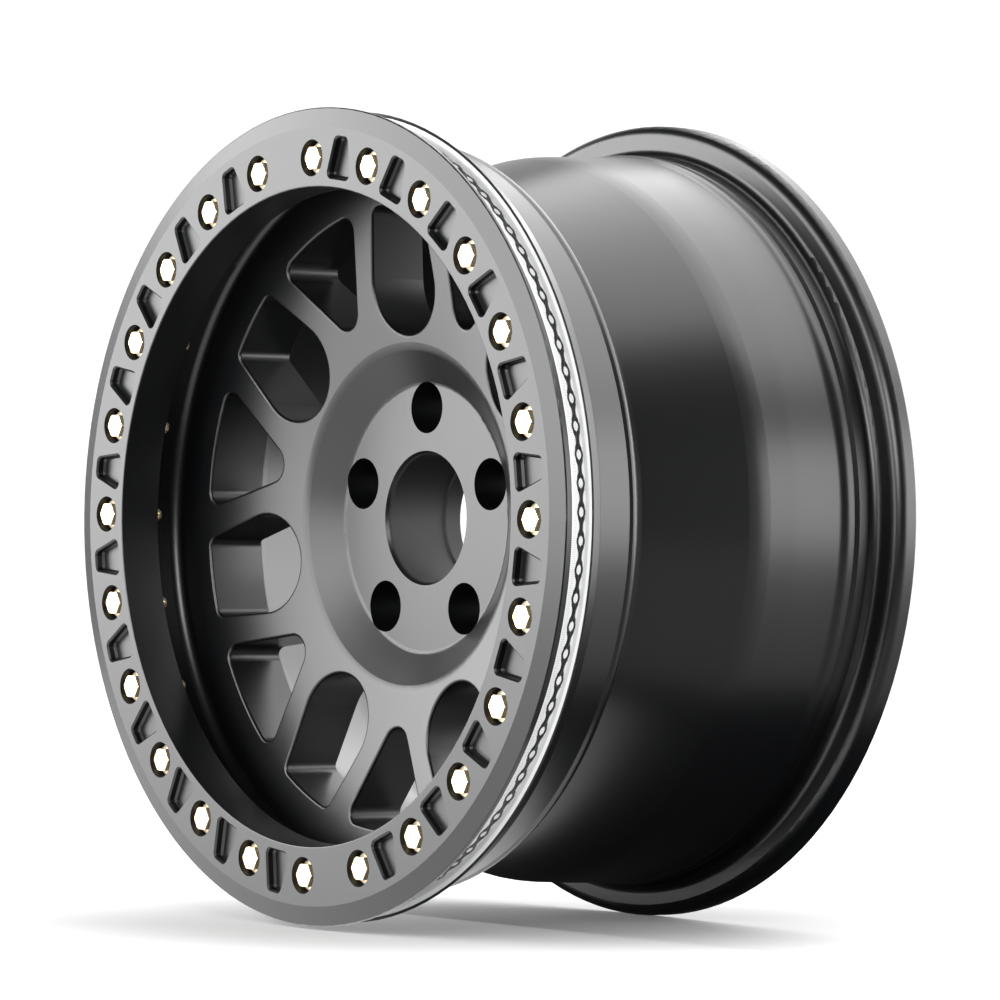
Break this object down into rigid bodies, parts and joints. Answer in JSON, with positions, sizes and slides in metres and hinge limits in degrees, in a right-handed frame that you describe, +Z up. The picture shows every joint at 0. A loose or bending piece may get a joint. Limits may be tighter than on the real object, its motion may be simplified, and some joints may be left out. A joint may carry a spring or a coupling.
{
  "type": "car wheel",
  "caption": "Off-road car wheel with a deep-dished spoked cast body, lug-bolted hub, drop-centre barrel and a flat outer clamp ring held by recessed hex bolts.",
  "frame": {"origin": "on the wheel axis, midway between the outer ring's face and the back of the rear flange", "axes": "+Y along the wheel axis towards the vehicle, so the outer face looks along -Y; +Z up, through one lug hole, one ring bolt and one wide window"},
  "size_m": [0.4666, 0.253, 0.4666],
  "materials": {
    "casting": "satin near-black paint",
    "ring": "satin near-black paint",
    "bolts": "yellow zinc plated",
    "washers": "zinc plated"
  },
  "bodies": {
    "root": {"wheel_casting": "casting", "beadlock_ring": "ring", "ring_bolts": "bolts", "bolt_washers": "washers"}
  },
  "joints": []
}
